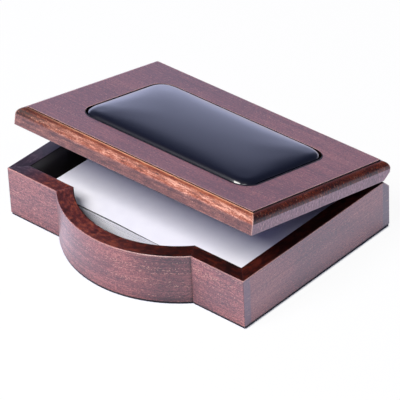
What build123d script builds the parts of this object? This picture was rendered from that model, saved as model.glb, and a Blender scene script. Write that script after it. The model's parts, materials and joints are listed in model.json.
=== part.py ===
from build123d import *
from math import sqrt
import os

# A desk memo box: a shallow hardwood tray for loose sheets, with a bowed front, under a hinged lid
# that has a padded leather panel set into its top. All sizes are in millimetres. The origin is on
# the desk, at the middle of the straight-sided part of the box. X runs along the front, Y towards
# the hinges and Z up. The lid is drawn ajar, as it stands at rest.

# Sheets
SHEET_WIDTH = 152.4
SHEET_DEPTH = 101.6
BLOCK_HEIGHT = 15.2
LOOSE_HEIGHT = 0.8
SIDE_GAP = 8.8
FRONT_GAP = 0.3
BACK_GAP = 12.5
HEADROOM = 12.9

# Tray
WALL = 10.0
PANEL_THICKNESS = 4.0
RABBET = 5.0
PANEL_SLACK = 0.15
FELT_THICKNESS = 1.5
FELT_INSET = 0.4
BOW_WIDTH = 109.0
BOW_REACH = 22.3
BOW_WALL = 11.0
CHAMFER = 5.0
EASED_EDGE = 0.5

# Lid
LID_OPEN = 12.4
LID_THICKNESS = 12.7
LID_SETBACK = 5.7
LID_SIDE_INSET = 0.1
LID_GAP = 0.3
ROUND_RADIUS = 4.8
SHOULDER = 0.8

# Padded panel
PAD_SIDE_MARGIN = 27.9
PAD_END_MARGIN = 25.8
PAD_CORNER = 11.0
PAD_RISE = 3.6
PAD_EDGE_ROUND = 2.6
RECESS_DEPTH = 4.0
RECESS_CLEARANCE = 0.3
LEATHER = 0.9
LEATHER_TURN = 8.0
LEATHER_MOUTH_CORNER = 5.0
PAD_BOARD_THICKNESS = 2.0

# Hinges
HINGE_INSET = 38.0
HINGE_LENGTH = 25.0
KNUCKLES = 5
KNUCKLE_RADIUS = 1.5
KNUCKLE_GAP = 0.15
LEAF_THICKNESS = 0.8
LEAF_MARGIN = 0.5
LEAF_GAP = 0.15
NOTCH_CLEARANCE = 0.3
PIN_RADIUS = 0.7
PIN_CLEARANCE = 0.05
GROOVE_CLEARANCE = 0.35

# Screws
SCREW_SPACING = 15.0
SCREW_LENGTH = 7.0
SCREW_RADIUS = 0.8
SCREW_HEAD_RADIUS = 1.3
SCREW_HEAD_HEIGHT = 0.6
SCREW_SLOT_WIDTH = 0.4
SCREW_SLOT_DEPTH = 0.3

# The tray is built round the sheets
HALF_WIDTH = SHEET_WIDTH / 2 + SIDE_GAP + WALL
HALF_DEPTH = (FRONT_GAP + SHEET_DEPTH + BACK_GAP) / 2 + WALL
FRONT = -HALF_DEPTH
BACK = HALF_DEPTH
FLOOR = FELT_THICKNESS + PANEL_THICKNESS
BLOCK_TOP = FLOOR + BLOCK_HEIGHT
RIM = BLOCK_TOP + LOOSE_HEIGHT + HEADROOM
SHEET_MIDDLE = FRONT + WALL + FRONT_GAP + SHEET_DEPTH / 2

# The bow is a ring about one centre, which meets the straight rails at a sharp corner
BOW_RADIUS = ((BOW_WIDTH / 2) ** 2 + BOW_REACH**2) / (2 * BOW_REACH)
BOW_INNER_RADIUS = BOW_RADIUS - BOW_WALL
BOW_CENTRE = FRONT - BOW_REACH + BOW_RADIUS
BOW_CORNER = BOW_WIDTH / 2
BOW_INNER_CORNER = sqrt(BOW_INNER_RADIUS**2 - (BOW_CENTRE - FRONT - WALL) ** 2)

# The lid is drawn closed and then turned about the hinge line
LID_BOTTOM = RIM + LID_GAP
LID_TOP = LID_BOTTOM + LID_THICKNESS
LID_HALF_WIDTH = HALF_WIDTH - LID_SIDE_INSET
LID_FRONT = FRONT + LID_SETBACK
LID_DEPTH = BACK - LID_FRONT
LID_MIDDLE = (LID_FRONT + BACK) / 2
PAD_WIDTH = 2 * (LID_HALF_WIDTH - PAD_SIDE_MARGIN)
PAD_DEPTH = LID_DEPTH - 2 * PAD_END_MARGIN
RECESS_FLOOR = LID_TOP - RECESS_DEPTH
PAD_BOARD_TOP = RECESS_FLOOR + LEATHER + PAD_BOARD_THICKNESS
PAD_TOP = LID_TOP + PAD_RISE

# The hinge line lies in the groove that the two chamfers make. Each leaf lies flat on a chamfer,
# so the line stands off each chamfer by a leaf and half of the gap between the leaves. A leaf ends
# short of the chamfer's far edge by a margin.
LEAF_STAND_OFF = LEAF_THICKNESS + LEAF_GAP
HINGE_Z = RIM + LID_GAP / 2
HINGE_Y = BACK - CHAMFER + LEAF_STAND_OFF * sqrt(2) - LID_GAP / 2
HINGE_X = HALF_WIDTH - HINGE_INSET
HINGE_SIDES = {"left": -HINGE_X, "right": HINGE_X}
CHAMFER_BEFORE_LINE = LEAF_STAND_OFF - LID_GAP / sqrt(2)
LEAF_END = CHAMFER * sqrt(2) - CHAMFER_BEFORE_LINE - LEAF_MARGIN
LEAF_START = KNUCKLE_RADIUS + NOTCH_CLEARANCE
LEAF_MIDDLE = (LEAF_START + LEAF_END) / 2
HALF_HINGE = HINGE_LENGTH / 2

# Reach of the tools that cut right through a piece
PAST = 5.0


def block(low, high):
    """Box between two opposite corners."""
    size = [top - bottom for bottom, top in zip(low, high)]
    return Pos(*low) * Box(*size, align=(Align.MIN, Align.MIN, Align.MIN))


def outline(half_width, front, back, bow_radius):
    """Flat outline of a rectangle with the bow standing out of its front."""
    rectangle = Pos(0, (front + back) / 2) * Rectangle(2 * half_width, back - front)
    bow = Pos(0, BOW_CENTRE) * Circle(bow_radius)
    in_front = Pos(0, front - BOW_RADIUS + WALL) * Rectangle(2 * half_width, 2 * BOW_RADIUS)
    return rectangle + (bow & in_front)


def slab(sketch, low, high):
    """Flat outline extruded between two heights."""
    return extrude(Pos(0, 0, low) * sketch, high - low, dir=(0, 0, 1))


def rounded_slab(width, depth, corner, low, high):
    """Round-cornered plate centred on the lid."""
    return slab(Pos(0, LID_MIDDLE) * RectangleRounded(width, depth, corner), low, high)


def edges_at(solid, height):
    """Edges of a solid that lie flat at one height."""
    level = [edge for edge in solid.edges() if abs(edge.bounding_box().max.Z - height) < 0.001]
    return [edge for edge in level if abs(edge.bounding_box().min.Z - height) < 0.001]


def chamfer_cutter(middle_z):
    """Square bar whose corner takes the chamfer off a back edge."""
    bar = Box(2 * HALF_WIDTH + 2 * PAST, CHAMFER * sqrt(2), CHAMFER * sqrt(2))
    return Pos(0, BACK, middle_z) * Rot(45, 0, 0) * bar


def tray_ring():
    """The four walls and the bow in one, before the mitres are cut."""
    outside = outline(HALF_WIDTH, FRONT, BACK, BOW_RADIUS)
    inside = outline(HALF_WIDTH - WALL, FRONT + WALL, BACK - WALL, BOW_INNER_RADIUS)
    ring = slab(outside, FELT_THICKNESS, RIM) - slab(inside, FELT_THICKNESS - PAST, RIM + PAST)
    ring -= chamfer_cutter(RIM)
    ring = fillet(edges_at(ring, RIM), EASED_EDGE)
    return ring - slab(panel_outline(PANEL_SLACK), FELT_THICKNESS - PAST, FLOOR)


def panel_outline(slack):
    """Outline of the bottom board, or of its rabbet when slack is added."""
    reach = RABBET + slack
    return outline(
        HALF_WIDTH - WALL + reach,
        FRONT + WALL - reach,
        BACK - WALL + reach,
        BOW_INNER_RADIUS + reach,
    )


def wall_outlines():
    """Corner points of each wall's plan, from mitre to mitre."""
    inner_x, inner_front, inner_back = HALF_WIDTH - WALL, FRONT + WALL, BACK - WALL
    bow_front = [
        (-BOW_INNER_CORNER, inner_front),
        (-BOW_CORNER, FRONT),
        (-BOW_CORNER, FRONT - BOW_REACH - PAST),
    ]
    bow_front += [(-x, y) for x, y in reversed(bow_front)]
    back_wall = [(-HALF_WIDTH, BACK), (-inner_x, inner_back), (inner_x, inner_back), (HALF_WIDTH, BACK)]
    outlines = {"bow_front": bow_front, "back_wall": back_wall}
    for side, sign in (("left", -1), ("right", 1)):
        front_corner = (sign * HALF_WIDTH, FRONT)
        back_corner = (sign * HALF_WIDTH, BACK)
        inner_front_corner = (sign * inner_x, inner_front)
        inner_back_corner = (sign * inner_x, inner_back)
        bow_corner = (sign * BOW_CORNER, FRONT)
        inner_bow_corner = (sign * BOW_INNER_CORNER, inner_front)
        outlines[f"{side}_wall"] = [front_corner, back_corner, inner_back_corner, inner_front_corner]
        outlines[f"front_rail_{side}"] = [front_corner, bow_corner, inner_bow_corner, inner_front_corner]
    return outlines


def mitred_walls():
    """Each wall is the part of the ring inside its own mitred outline."""
    ring = tray_ring()
    walls = {}
    for name, points in wall_outlines().items():
        walls[name] = ring & slab(Polygon(*points, align=None), 0, RIM + PAST)
    for cutter in hinge_cutters(base_frame):
        walls["back_wall"] -= cutter
    return walls


def lid_board():
    """Solid board: shouldered round edge, recess for the pad and a chamfer at the hinges."""
    edge_top = LID_TOP - SHOULDER
    board = block((-LID_HALF_WIDTH, LID_FRONT, LID_BOTTOM), (LID_HALF_WIDTH, BACK, edge_top))
    board = fillet(edges_at(board, edge_top), ROUND_RADIUS)
    board = fillet(edges_at(board, LID_BOTTOM), EASED_EDGE)
    plateau_half_width = LID_HALF_WIDTH - ROUND_RADIUS
    board += block(
        (-plateau_half_width, LID_FRONT + ROUND_RADIUS, edge_top - SHOULDER),
        (plateau_half_width, BACK - ROUND_RADIUS, LID_TOP),
    )
    board -= chamfer_cutter(LID_BOTTOM)
    clearance = 2 * RECESS_CLEARANCE
    board -= rounded_slab(
        PAD_WIDTH + clearance,
        PAD_DEPTH + clearance,
        PAD_CORNER + RECESS_CLEARANCE,
        RECESS_FLOOR,
        LID_TOP + PAST,
    )
    for cutter in hinge_cutters(lid_frame):
        board -= cutter
    return board


def pad_pieces():
    """Board, foam and leather of the padded panel, each inside the next."""
    inner_width = PAD_WIDTH - 2 * LEATHER
    inner_depth = PAD_DEPTH - 2 * LEATHER
    inner_corner = PAD_CORNER - LEATHER
    inner_top = PAD_TOP - LEATHER
    inner_floor = RECESS_FLOOR + LEATHER
    filling = rounded_slab(inner_width, inner_depth, inner_corner, inner_floor, inner_top)
    filling = fillet(edges_at(filling, inner_top), PAD_EDGE_ROUND - LEATHER)
    leather = rounded_slab(PAD_WIDTH, PAD_DEPTH, PAD_CORNER, RECESS_FLOOR, PAD_TOP)
    leather = fillet(edges_at(leather, PAD_TOP), PAD_EDGE_ROUND)
    leather -= filling
    leather -= rounded_slab(
        PAD_WIDTH - 2 * LEATHER_TURN,
        PAD_DEPTH - 2 * LEATHER_TURN,
        LEATHER_MOUTH_CORNER,
        RECESS_FLOOR,
        inner_floor,
    )
    board = rounded_slab(inner_width, inner_depth, inner_corner, inner_floor, PAD_BOARD_TOP)
    return {"pad_board": board, "foam_pad": filling - board, "leather_cover": leather}


def base_frame(x):
    """Hinge frame whose Y runs down the tray's chamfer and whose Z points out of the wood."""
    return Plane(origin=(x, HINGE_Y, HINGE_Z), x_dir=(1, 0, 0), z_dir=(0, 1, 1))


def lid_frame(x):
    """Hinge frame whose Y runs up the lid's chamfer and whose Z points out of the wood."""
    return Plane(origin=(x, HINGE_Y, HINGE_Z), x_dir=(-1, 0, 0), z_dir=(0, 1, -1))


def along_x(radius, low, high):
    """Round bar on the hinge line."""
    bar = Cylinder(radius, high - low, align=(Align.CENTER, Align.CENTER, Align.MIN))
    return Pos(low, 0, 0) * Rot(0, 90, 0) * bar


def knuckle_spans(first):
    """Ends of every other knuckle along the hinge, counted from the first."""
    pitch = HINGE_LENGTH / KNUCKLES
    starts = [-HALF_HINGE + index * pitch for index in range(first, KNUCKLES, 2)]
    return [(start + KNUCKLE_GAP / 2, start + pitch - KNUCKLE_GAP / 2) for start in starts]


def leaf(first_knuckle, bore_radius):
    """Hinge leaf in its own frame: plate, knuckles, bore and countersunk holes."""
    piece = block((-HALF_HINGE, LEAF_START, -LEAF_STAND_OFF), (HALF_HINGE, LEAF_END, -LEAF_GAP))
    for low, high in knuckle_spans(first_knuckle):
        piece += block((low, 0, -LEAF_STAND_OFF), (high, LEAF_START, -LEAF_GAP))
        piece += along_x(KNUCKLE_RADIUS, low, high)
    piece -= along_x(bore_radius, -HALF_HINGE - PAST, HALF_HINGE + PAST)
    for place in screw_places():
        piece -= place * screw_blank()
    return piece


def screw_places():
    """Where the two screws of a leaf stand, on its visible face."""
    return [Pos(x, LEAF_MIDDLE, -LEAF_GAP) for x in (-SCREW_SPACING / 2, SCREW_SPACING / 2)]


def screw_blank():
    """Countersunk screw without its slot, pointing down from its flat head."""
    at_top = (Align.CENTER, Align.CENTER, Align.MAX)
    head = Cone(SCREW_RADIUS, SCREW_HEAD_RADIUS, SCREW_HEAD_HEIGHT, align=at_top)
    return head + Cylinder(SCREW_RADIUS, SCREW_LENGTH, align=at_top)


def screw():
    """Slotted countersunk screw."""
    slot = Box(2 * SCREW_HEAD_RADIUS, SCREW_SLOT_WIDTH, 2 * SCREW_SLOT_DEPTH)
    return screw_blank() - slot


def hinge_cutters(frame):
    """Screw holes and the round groove that clears the knuckles, for one side's wood."""
    cutters = []
    half_groove = HALF_HINGE + GROOVE_CLEARANCE
    for x in HINGE_SIDES.values():
        cutters.append(frame(x) * along_x(KNUCKLE_RADIUS + GROOVE_CLEARANCE, -half_groove, half_groove))
        for place in screw_places():
            cutters.append(frame(x) * place * screw_blank())
    return cutters


def screw_set(frame):
    """The four screws of one side's leaves."""
    return Compound([frame(x) * place * screw() for x in HINGE_SIDES.values() for place in screw_places()])


def base_hinge_pieces():
    """Leaves on the tray, with the pins that are pressed into them, and their screws."""
    pieces = {"base_hinge_screws": screw_set(base_frame)}
    for side, x in HINGE_SIDES.items():
        pieces[f"hinge_{side}_base_leaf"] = base_frame(x) * leaf(0, PIN_RADIUS)
        pieces[f"hinge_{side}_pin"] = base_frame(x) * along_x(PIN_RADIUS, -HALF_HINGE, HALF_HINGE)
    return pieces


def lid_hinge_pieces():
    """Leaves on the lid, which turn freely on the pins, and their screws."""
    pieces = {"lid_hinge_screws": screw_set(lid_frame)}
    for side, x in HINGE_SIDES.items():
        pieces[f"hinge_{side}_lid_leaf"] = lid_frame(x) * leaf(1, PIN_RADIUS + PIN_CLEARANCE)
    return pieces


def sheet_pieces():
    """The stack of sheets and the few loose ones on top of it."""
    left, right = -SHEET_WIDTH / 2, SHEET_WIDTH / 2
    front, back = SHEET_MIDDLE - SHEET_DEPTH / 2, SHEET_MIDDLE + SHEET_DEPTH / 2
    return {
        "memo_block": block((left, front, FLOOR), (right, back, BLOCK_TOP)),
        "loose_sheets": block((left, front, BLOCK_TOP), (right, back, BLOCK_TOP + LOOSE_HEIGHT)),
    }


def bottom_pieces():
    """Bottom board and the felt glued under the whole tray."""
    felt_edge = HALF_WIDTH - FELT_INSET
    felt = outline(felt_edge, FRONT + FELT_INSET, BACK - FELT_INSET, BOW_RADIUS - FELT_INSET)
    return {
        "base_panel": slab(panel_outline(0), FELT_THICKNESS, FLOOR),
        "felt_base": slab(felt, 0, FELT_THICKNESS),
    }


def opened(piece):
    """A lid piece turned from closed to the angle at which the lid rests ajar."""
    hinge_line = Axis((0, HINGE_Y, HINGE_Z), (-1, 0, 0))
    return piece.rotate(hinge_line, LID_OPEN)


base_nodes = {**bottom_pieces(), **mitred_walls(), **sheet_pieces(), **base_hinge_pieces()}
lid_nodes = {"lid_board": lid_board(), **pad_pieces(), **lid_hinge_pieces()}

os.makedirs("parts", exist_ok=True)
for name, piece in base_nodes.items():
    export_step(piece, f"parts/{name}.step")
for name, piece in lid_nodes.items():
    export_step(opened(piece), f"parts/{name}.step")

print("box", 2 * HALF_WIDTH, "x", round(2 * HALF_DEPTH, 2), "x", RIM)
print("bow radius", round(BOW_RADIUS, 2), "inner corner", round(BOW_INNER_CORNER, 2))
print("hinge line", round(HINGE_Y, 3), round(HINGE_Z, 3), "pad", PAD_WIDTH, "x", round(PAD_DEPTH, 2))
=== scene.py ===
# %% [markdown]
# # A wooden memo box with a padded lid
# The real object is a shallow mahogany tray for loose memo sheets. Its front wall bulges
# out in a bow, so that fingers can reach the sheets. A solid wooden lid is hinged along
# the back, and a black leather pad is let into its top.
#
# The construction already exists as a fixed frame of named nodes at their real size, in
# metres. This script adds the looks: the finish of every surface, the soft pad, the paper,
# a floor, soft light and a camera.

import json
import math
import random

import bpy
from mathutils import Matrix, Vector


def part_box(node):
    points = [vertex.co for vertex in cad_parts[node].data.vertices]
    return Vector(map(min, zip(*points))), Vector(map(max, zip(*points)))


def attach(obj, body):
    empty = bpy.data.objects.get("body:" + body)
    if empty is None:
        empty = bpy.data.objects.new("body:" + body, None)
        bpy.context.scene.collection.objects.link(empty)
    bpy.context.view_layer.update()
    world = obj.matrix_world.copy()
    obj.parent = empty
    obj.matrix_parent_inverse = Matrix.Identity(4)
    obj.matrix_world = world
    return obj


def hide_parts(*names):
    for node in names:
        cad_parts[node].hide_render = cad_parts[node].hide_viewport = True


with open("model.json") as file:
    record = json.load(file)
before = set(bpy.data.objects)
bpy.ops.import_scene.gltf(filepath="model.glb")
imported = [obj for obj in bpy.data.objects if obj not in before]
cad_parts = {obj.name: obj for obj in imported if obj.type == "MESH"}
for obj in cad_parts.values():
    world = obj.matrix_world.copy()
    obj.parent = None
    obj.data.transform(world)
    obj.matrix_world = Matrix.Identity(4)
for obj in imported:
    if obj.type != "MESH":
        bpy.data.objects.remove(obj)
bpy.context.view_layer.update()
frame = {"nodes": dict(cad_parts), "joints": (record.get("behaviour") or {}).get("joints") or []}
nodes = frame["nodes"]

# %% [markdown]
# ## Where the lid stands
# The lid is modelled standing open, as in use. Its hinge line and its opening come from
# the frame's one joint. Anything made for the lid is made lying flat first, and then
# swung open about the hinge line.

# %% Read the hinge
MM = 0.001
hinge = frame["joints"][0]
hinge_line = Vector(hinge["pos_m"])
lid_open = math.radians(-hinge["range_deg"][0])
from_hinge = Matrix.Translation(-hinge_line)
swing = Matrix.Translation(hinge_line) @ Matrix.Rotation(-lid_open, 4, "X") @ from_hinge
print("the lid stands open", round(math.degrees(lid_open), 1), "degrees")

# %% [markdown]
# ## The camera
# A long lens from about two metres keeps the box's edges nearly parallel, as in a
# catalogue picture. The camera is aimed by an azimuth (0 looks along +Y), an elevation and
# a slight roll, so it is placed by its three axes instead of by a tracking constraint.

# %% Place the camera
AZIMUTH = math.radians(42.98)
ELEVATION = math.radians(34.57)
ROLL = math.radians(-2.68)
DISTANCE = 1.9335
LENS = 286.0
SENSOR_WIDTH = 36
FAR_CLIP = 20
AIM = Vector((0, 0, 20 * MM))
SIDE_STEP = 1.3 * MM
UP_STEP = -4.5 * MM

back = Vector((
    math.sin(AZIMUTH) * math.cos(ELEVATION),
    -math.cos(AZIMUTH) * math.cos(ELEVATION),
    math.sin(ELEVATION),
))
level_right = (-back).cross(Vector((0, 0, 1))).normalized()
level_up = level_right.cross(-back)
right = level_right * math.cos(ROLL) + level_up * math.sin(ROLL)
up = level_up * math.cos(ROLL) - level_right * math.sin(ROLL)

camera = bpy.data.objects.new("camera", bpy.data.cameras.new("camera"))
camera.data.lens = LENS
camera.data.sensor_width = SENSOR_WIDTH
camera.data.clip_end = FAR_CLIP
turn = Matrix((right, up, back)).transposed().to_4x4()
place = AIM + back * DISTANCE + right * SIDE_STEP + up * UP_STEP
camera.matrix_world = Matrix.Translation(place) @ turn
bpy.context.scene.collection.objects.link(camera)
bpy.context.scene.camera = camera
print("camera at", [round(x, 3) for x in place])

# %% [markdown]
# ## Helpers for materials
# Colours are written as hex values, which are sRGB, and Blender's nodes take linear
# light. One function turns one into the other. A second one adds a node, sets it up and
# links its inputs. It returns the output that the next node takes, so a material reads as
# a short list of steps.

# %% Colour and node helpers
def linear(hex_colour):
    """An sRGB hex colour as the linear red, green, blue and alpha that nodes take."""
    parts = [int(hex_colour[i:i + 2], 16) / 255 for i in (0, 2, 4)]
    return [p / 12.92 if p <= 0.04045 else ((p + 0.055) / 1.055) ** 2.4 for p in parts] + [1]


def add(tree, kind, inputs=(), out=0, stops=(), **settings):
    """Adds a node. inputs maps its sockets to values or to outputs; stops fill a colour ramp."""
    node = tree.nodes.new("ShaderNode" + kind)
    for name, value in settings.items():
        setattr(node, name, value)
    for name, value in dict(inputs).items():
        if isinstance(value, bpy.types.NodeSocket):
            tree.links.new(value, node.inputs[name])
        else:
            node.inputs[name].default_value = value
    for number, (position, colour) in enumerate(stops):
        points = node.color_ramp.elements
        point = points[number] if number < 2 else points.new(position)
        point.position = position
        point.color = linear(colour)
    return node.outputs[out] if node.outputs else node


def new_material(name):
    """An empty material and its node tree."""
    material = bpy.data.materials.new(name)
    material.use_nodes = True
    material.node_tree.nodes.clear()
    print("material:", name)
    return material, material.node_tree

# %% [markdown]
# ## The wood
# The walls and the lid are mahogany, stained red-brown and sprayed with satin lacquer.
# The eye reads it as wood by its layers: soft clouds of darker and redder stain, long
# streaks, fine short fibres, dark pores and a few light flecks. All are solid patterns in
# the board, so a rounded edge cuts through them as a router does.
#
# Each pattern is worked out in a grain frame in millimetres: x runs along the grain, y
# and z across it. A mapping of the Texture kind makes that frame. It takes a corner of the
# board as its origin, and turns with the board, so the lid's pattern tilts with the lid.

# %% Grain frames
def grain_frame(tree, place, origin, turn=(0, 0, 0)):
    """The board's own frame in millimetres, with x along the grain."""
    return add(tree, "Mapping", {
        "Vector": place, "Location": origin, "Rotation": turn, "Scale": (MM, MM, MM),
    }, vector_type="TEXTURE")


def bent_grain_frame(tree, place, centre, radius):
    """The same for bent wood: x runs round the curve, y outwards and z up."""
    flat = add(tree, "SeparateXYZ", {0: grain_frame(tree, place, centre)}).node.outputs
    ahead = add(tree, "Math", {0: flat[1], 1: -1.0}, operation="MULTIPLY")
    angle = add(tree, "Math", {0: flat[0], 1: ahead}, operation="ARCTAN2")
    along = add(tree, "Math", {0: angle, 1: radius / MM}, operation="MULTIPLY")
    level = add(tree, "CombineXYZ", {0: flat[0], 1: flat[1]})
    outwards = add(tree, "VectorMath", {0: level}, "Value", operation="LENGTH")
    return add(tree, "CombineXYZ", {0: along, 1: outwards, 2: flat[2]})

# %% [markdown]
# Noise is round, so the grain frame is squeezed first: what is squeezed to a tenth comes
# out pulled to ten times its width. Real fibres are under a tenth of a millimetre wide and
# pores about a fifth, too fine to show here, so both are drawn as wide as they need to
# show, about half a millimetre. Light flecks and fine dark lines lie in rows along the
# grain, so one noise of long rows says where each of them shows. A minus sign turns the
# noise over, so that one layer doesn't follow another.

# %% Wood figure
FIGURE_LAYERS = (
    # squeeze along the grain, width in mm, detail, weight
    (1 / 2, 26, 2, 0.4),
    (1 / 50, 0.9, 2, 0.26),
    (1 / 4, 0.5, 1, 0.46),
    (-1 / 1.5, 0.45, 0, 0.46),
)
ROW_SQUEEZE = 1 / 80
ROW_WIDTH = 1.1
PORE_SQUEEZE = 1 / 3
PORE_WIDTH = 0.6
FLECK_SQUEEZE = 0.6
FLECK_WIDTH = 0.55
# the level of the noise where each starts to show, and where it shows in full
PORES_SHOW = (0.60, 0.72)
LINES_SHOW = (0.38, 0.28)
FLECKS_SHOW = (0.62, 0.76)
FLECK_ROWS = (0.52, 0.62)


def pulled_noise(tree, grain, squeeze, width, detail):
    """Noise of a width in millimetres, pulled along the grain."""
    squeezed = add(tree, "VectorMath", {0: grain, 1: squeeze}, operation="MULTIPLY")
    return add(tree, "TexNoise", {"Vector": squeezed, "Scale": 1 / width, "Detail": detail})


def both(tree, *masks):
    """Where all of several masks are 1. Each is a value, the place where it starts and where it is full."""
    found = 1.0
    for value, start, full in masks:
        mask = add(tree, "MapRange", {"Value": value, "From Min": start, "From Max": full})
        found = add(tree, "Math", {0: found, 1: mask}, operation="MULTIPLY")
    return found


def wood_figure(tree, grain):
    """The wood's light and dark, about 0.5, and its dark marks and light flecks, from 0 to 1."""
    figure = 0.5 - sum(layer[-1] for layer in FIGURE_LAYERS) / 2
    for squeeze, width, detail, weight in FIGURE_LAYERS:
        layer = pulled_noise(tree, grain, (squeeze, 1, 1), width, detail)
        figure = add(tree, "Math", {0: layer, 1: weight, 2: figure}, operation="MULTIPLY_ADD")
    rows = pulled_noise(tree, grain, (ROW_SQUEEZE, 1, 1), ROW_WIDTH, 1)
    dashes = pulled_noise(tree, grain, (PORE_SQUEEZE, 1, 1), PORE_WIDTH, 1)
    dots = pulled_noise(tree, grain, (FLECK_SQUEEZE, -1, -1), FLECK_WIDTH, 0)
    pores = both(tree, (dashes, *PORES_SHOW))
    lines = both(tree, (rows, *LINES_SHOW))
    flecks = both(tree, (dots, *FLECKS_SHOW), (rows, *FLECK_ROWS))
    marks = add(tree, "Math", {0: pores, 1: lines}, operation="MAXIMUM")
    return figure, marks, flecks

# %% [markdown]
# ## The stain
# The stain isn't even. End grain drinks more of it and goes dark, and the top edges of the
# walls are blotchy. Some of the colour is painted light and shade: the top edges are darker
# towards the right, in part a painted shade, the inside is painted darkest, a painted
# shade, and the lid's moulded front edge, which is sanded most, stays light and orange, its
# pink partly a painted highlight. Each stain is a ramp of three colours, from the dark to
# the light of the figure. Masks choose between them, by where the surface points or by its
# place.
#
# Two marks are painted light and shade. A painted highlight runs along the sharp outer
# edges that face up, and a painted shade darkens the inner corners. The Bevel node, which
# looks for edges nearby, gives the first mask, and the Ambient Occlusion node, which looks
# for cramped places, the second.

# %% Stains, painted edge highlights and painted corner shade
FIGURE_STOPS = (0.36, 0.5, 0.65)
MARK = "1c0908"
MARK_SHARE = 0.45
FLECK = "dca68c"
FLECK_SHARE = 0.5
# painted highlight: the colour laid on lit sharp outer edges
EDGE_HIGHLIGHT = "e6b6a6"
EDGE_HIGHLIGHT_SHARE = 0.85
# painted shade: the colour laid in shaded inner corners
CORNER_SHADE = "120506"
EDGE_BAND = 1.1 * MM
CORNER_REACH = 2.4 * MM
# where each sign of an edge or a corner starts, and where it is full
EDGE_TURNS = (0.99, 0.92)
EDGE_IS_OPEN = (0.88, 0.98)
CORNER_IS_CLOSE = (0.96, 0.8)
RISE_SPREAD = 0.15


def stained(tree, figure, stain):
    """The figure, coloured from the stain's dark to its light."""
    return add(tree, "ValToRGB", {0: figure}, stops=list(zip(FIGURE_STOPS, stain)))


def marked(tree, colour, marks, flecks, grain_and_highlight, polished, least_rise):
    """Adds grain marks and flecks, and a painted highlight on open outer edges, where the first
    mask allows, and a painted shade in inner corners, where the second allows. Gives the new
    colour and the mask of the painted corner shade."""
    softened = add(tree, "Bevel", {"Radius": EDGE_BAND}, samples=4)
    true_normal = add(tree, "NewGeometry", out="Normal")
    agree = add(tree, "VectorMath", {0: softened, 1: true_normal}, "Value", operation="DOT_PRODUCT")
    open_sky = add(tree, "AmbientOcclusion", {"Distance": CORNER_REACH}, "AO", samples=4)
    rise = add(tree, "SeparateXYZ", {0: softened}, 2)
    # the painted highlight, along open outer edges that face up
    painted_highlight = both(
        tree, (agree, *EDGE_TURNS), (open_sky, *EDGE_IS_OPEN), (grain_and_highlight, 0, 1),
        (rise, least_rise, least_rise + RISE_SPREAD),
    )
    # the painted shade in cramped inner corners, which also dulls the lacquer there
    crevice_shade = both(tree, (open_sky, *CORNER_IS_CLOSE), (polished, 0, 1))
    for mask, strength, mark in (
        (both(tree, (marks, 0, 1), (grain_and_highlight, 0, 1)), MARK_SHARE, MARK),
        (both(tree, (flecks, 0, 1), (grain_and_highlight, 0, 1)), FLECK_SHARE, FLECK),
        (painted_highlight, EDGE_HIGHLIGHT_SHARE, EDGE_HIGHLIGHT),
        (crevice_shade, 1.0, CORNER_SHADE),
    ):
        share = add(tree, "Math", {0: mask, 1: strength}, operation="MULTIPLY")
        colour = add(tree, "Mix", {"Factor": share, 6: colour, 7: linear(mark)}, 2, data_type="RGBA")
    return colour, crevice_shade

# %% [markdown]
# ## The lacquer
# Over the stain lies clear satin lacquer, a coat on the shader with the usual index of
# 1.5. It sinks a little into the fibres and the pores, which breaks its shine into fine
# grain. It fills sharp corners, and a fine Bevel node gives the light that round corner
# to catch.

# %% Satin lacquer
LACQUER_IOR = 1.5
LACQUER_CORNER = 0.35 * MM
FIBRE_DEPTH = 0.05 * MM
BARE_RELIEF = 0.6
COAT_RELIEF = 0.4


def satin_lacquer(tree, colour, figure, gloss, rough, coat_rough, shine=(1, 1, 1, 1)):
    """Stained wood under a clear satin coat. shine tints what the bare wood mirrors."""
    corner = add(tree, "Bevel", {"Radius": LACQUER_CORNER}, samples=4)
    fibres = {"Height": figure, "Distance": FIBRE_DEPTH, "Normal": corner}
    bare = add(tree, "Bump", {**fibres, "Strength": BARE_RELIEF})
    film = add(tree, "Bump", {**fibres, "Strength": COAT_RELIEF})
    shader = add(tree, "BsdfPrincipled", {
        "Base Color": colour,
        "Roughness": rough,
        "IOR": LACQUER_IOR,
        "Specular Tint": shine,
        "Coat Weight": gloss,
        "Coat Roughness": coat_rough,
        "Coat IOR": LACQUER_IOR,
        "Normal": bare,
        "Coat Normal": film,
    })
    add(tree, "OutputMaterial", {"Surface": shader})

# %% [markdown]
# ## Wood for the tray
# Several colours share one board: its even faces, its inside, where a surface points
# towards the middle of the tray, and its blotchy top edge. The inside is painted dark, a
# painted shade. The top edge is darkest at the right, in part a painted shade. At the left
# it is greyer, a painted reflection, and palest further back, a painted light where the
# lid shades it.
#
# The bow's right end is painted darker, a painted shade for the side turned from the
# lamp. At each end of each side wall a narrow greyer band is a painted sheen, and the band
# at the back is darker, a painted shade.
#
# Each pair of numbers says where a place starts and where it is full: as the part of the
# normal that points up, or measured rightwards or backwards from the tray's middle. Where
# a surface points towards the middle, its normal times its place is below zero.

# %% Tray wood
FACE_STAIN = ("50282f", "793d3f", "a4625a")
# painted shade: the bow's right end, turned from the lamp, is coloured darker
TURNED_AWAY_SHADE = ("35171c", "56282c", "804644")
# painted shade: the inside is coloured darkest, in place of its shadow
INSIDE_SHADE = ("0b0608", "130a0e", "1c1015")
RIM_STAIN = ("2c0d0d", "542020", "8c4632")
# darker stain and in part a painted shade: the top edge towards the right
RIM_RIGHT_STAIN_AND_SHADE = ("0c0203", "280a08", "582014")
# painted reflection: the left top edge greyer, as if it mirrored the bright surroundings
RIM_LEFT_SHEEN = ("1e1216", "36262e", "584650")
# painted light: the left top edge paler where the lid shades it
SHELTERED_LIGHT = "5c5660"
# painted sheen: a greyer band at each end of the side walls
END_BAND_SHEEN = "6e4c58"
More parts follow.
